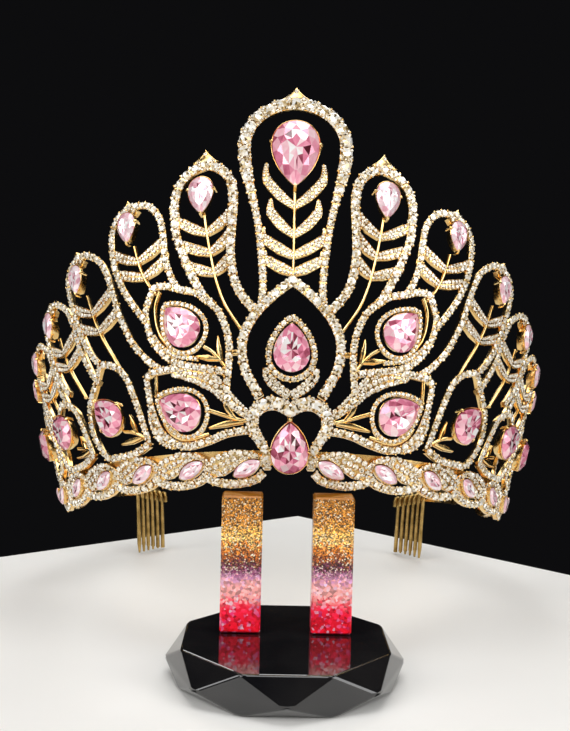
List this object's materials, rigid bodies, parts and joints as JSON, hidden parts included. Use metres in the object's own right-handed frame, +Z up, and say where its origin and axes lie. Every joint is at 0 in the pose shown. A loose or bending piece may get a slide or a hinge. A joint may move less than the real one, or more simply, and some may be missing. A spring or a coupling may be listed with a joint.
{
  "type": "crystal crown on a display stand",
  "caption": "Pierced gilt crown of feather loops with pink pear stones, a scalloped border and side hair combs, propped on a faceted foot with two resin posts.",
  "frame": {"origin": "middle of the foot's flat underside, on the surface that everything rests on", "axes": "+Z up, -Y towards the front of the crown, +X to the right seen from the front"},
  "size_m": [0.1833, 0.176, 0.1701],
  "materials": {
    "cast_gold": "polished light gold plate over cast alloy",
    "band_gold": "plain rolled gold-plated strip",
    "comb_brass": "darker gold-plated wire",
    "pink_crystal": "faceted rose glass with a foiled back",
    "pale_crystal": "faceted pale rose glass with a foiled back",
    "black_resin": "glossy black cast resin",
    "glitter_resin": "clear resin filled with layers of glitter"
  },
  "bodies": {
    "root": {"centre_panel": "cast_gold", "left_panel": "cast_gold", "right_panel": "cast_gold", "band": "band_gold", "comb_left": "comb_brass", "comb_right": "comb_brass", "stand_base": "black_resin", "stand_post_left": "glitter_resin", "stand_post_right": "glitter_resin", "onion_stone": "pink_crystal", "heart_stone": "pink_crystal", "feather_stone_centre": "pink_crystal", "feather_stone_first_left": "pale_crystal", "feather_stone_second_left": "pale_crystal", "feather_stone_third_left": "pale_crystal", "feather_stone_fourth_left": "pale_crystal", "feather_stone_fifth_left": "pale_crystal", "feather_stone_sixth_left": "pale_crystal", "upper_eye_stone_left": "pink_crystal", "lower_eye_stone_left": "pink_crystal", "side_stone_1_left": "pink_crystal", "side_stone_2_left": "pink_crystal", "side_stone_3_left": "pink_crystal", "side_stone_4_left": "pink_crystal", "border_stone_1_left": "pale_crystal", "border_stone_2_left": "pale_crystal", "border_stone_3_left": "pale_crystal", "border_stone_4_left": "pale_crystal", "border_stone_5_left": "pale_crystal", "border_stone_6_left": "pale_crystal", "border_stone_7_left": "pale_crystal", "border_stone_8_left": "pale_crystal", "feather_stone_first_right": "pale_crystal", "feather_stone_second_right": "pale_crystal", "feather_stone_third_right": "pale_crystal", "feather_stone_fourth_right": "pale_crystal", "feather_stone_fifth_right": "pale_crystal", "feather_stone_sixth_right": "pale_crystal", "upper_eye_stone_right": "pink_crystal", "lower_eye_stone_right": "pink_crystal", "side_stone_1_right": "pink_crystal", "side_stone_2_right": "pink_crystal", "side_stone_3_right": "pink_crystal", "side_stone_4_right": "pink_crystal", "border_stone_1_right": "pale_crystal", "border_stone_2_right": "pale_crystal", "border_stone_3_right": "pale_crystal", "border_stone_4_right": "pale_crystal", "border_stone_5_right": "pale_crystal", "border_stone_6_right": "pale_crystal", "border_stone_7_right": "pale_crystal", "border_stone_8_right": "pale_crystal"}
  },
  "joints": []
}
